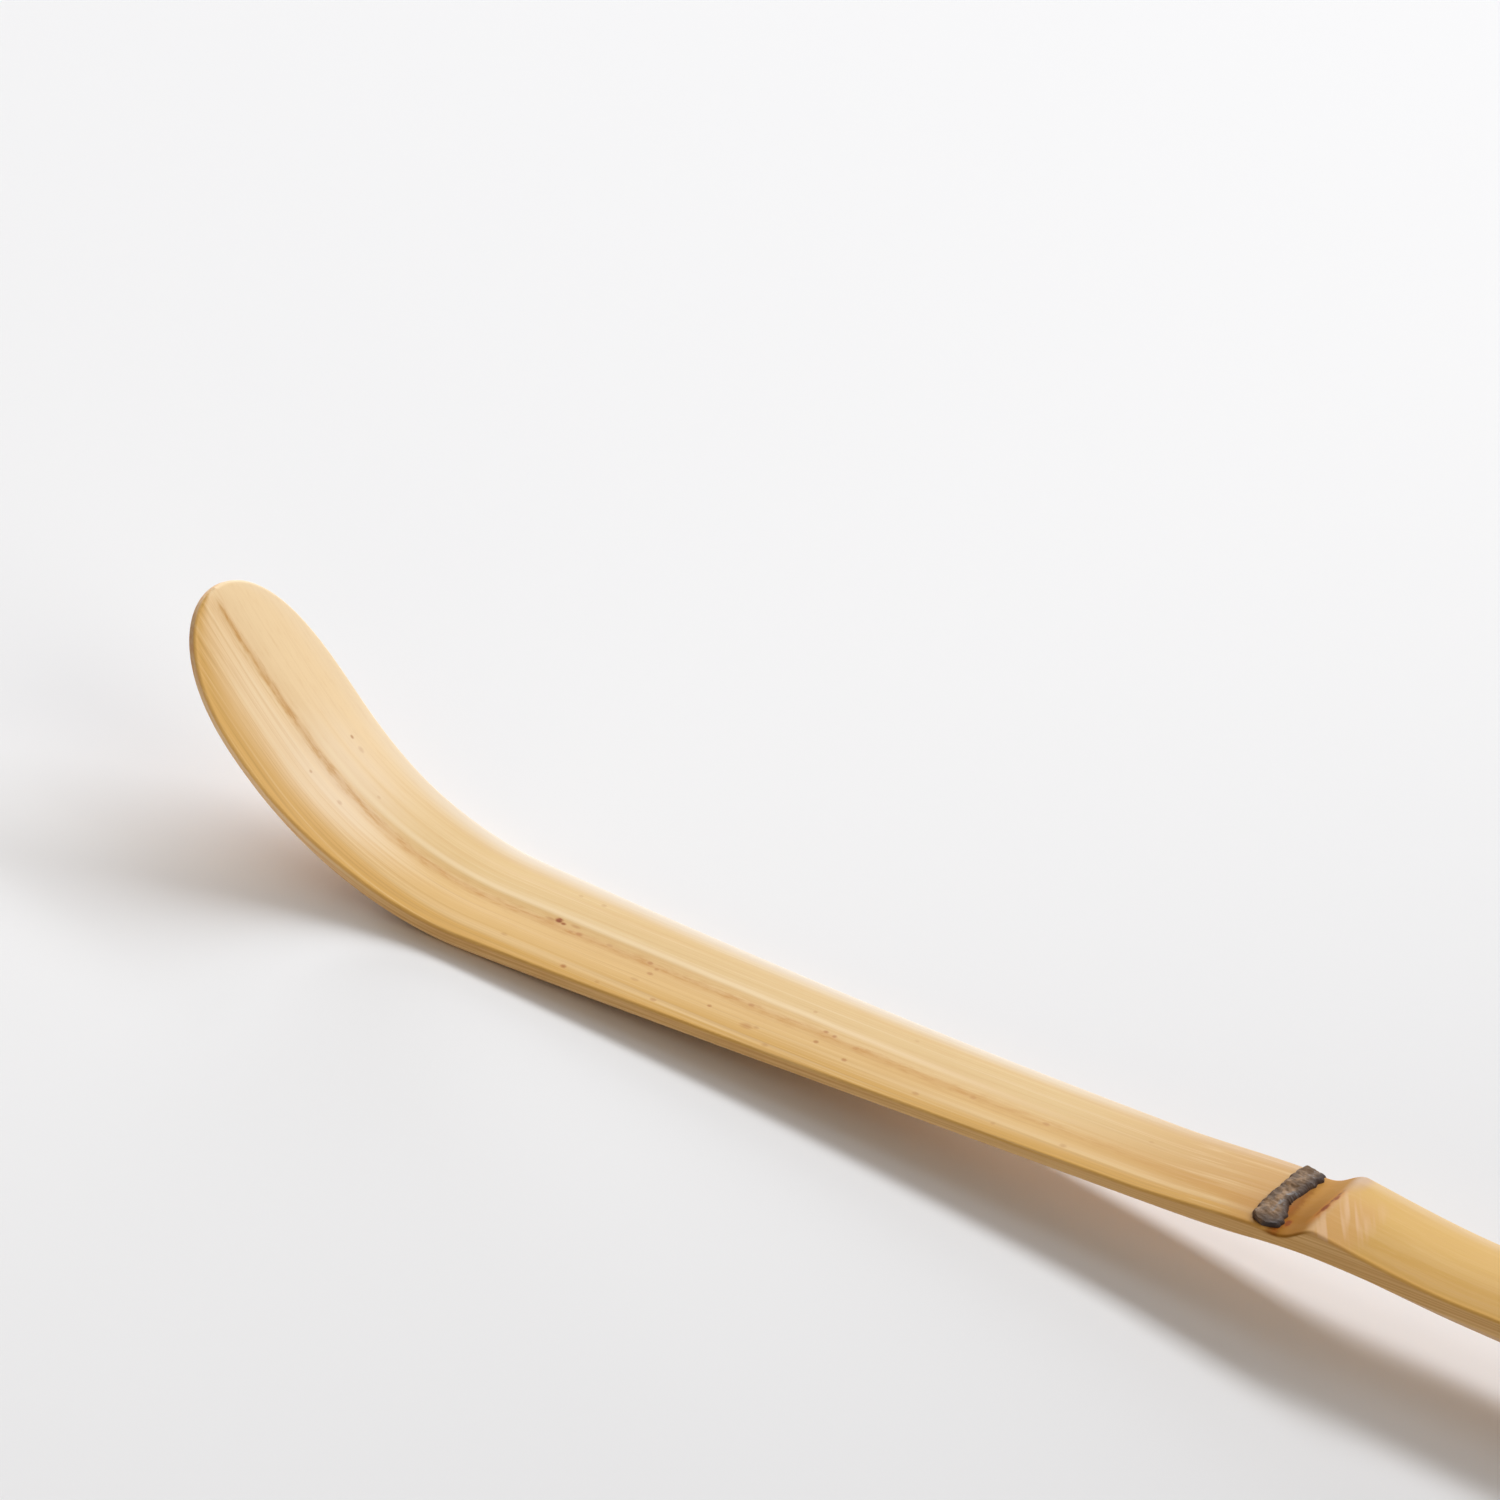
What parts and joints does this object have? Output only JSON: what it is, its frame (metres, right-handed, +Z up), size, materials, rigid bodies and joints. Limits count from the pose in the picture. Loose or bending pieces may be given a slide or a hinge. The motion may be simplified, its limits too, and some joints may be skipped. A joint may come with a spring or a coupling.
{
  "type": "tea scoop",
  "caption": "Slim bamboo tea scoop carved from one strip, with a rounded, grooved tip bent upward, a node with a dark sheath scar partway along, and a plain tapered handle",
  "frame": {"origin": "on the surface the scoop lies on, below the middle of its bounding box", "axes": "+X runs along the scoop from the raised tip towards the tail of the handle, +Y runs across it, +Z is up"},
  "size_m": [0.1812, 0.0108, 0.0163],
  "materials": {
    "bamboo": "smooth golden bamboo skin with a satin sheen, browner on the cut edges",
    "sheath": "dry dark brown sheath remnant with a matt, flaky surface"
  },
  "bodies": {
    "root": {"bamboo_strip": "bamboo", "sheath_scar": "sheath"}
  },
  "joints": []
}
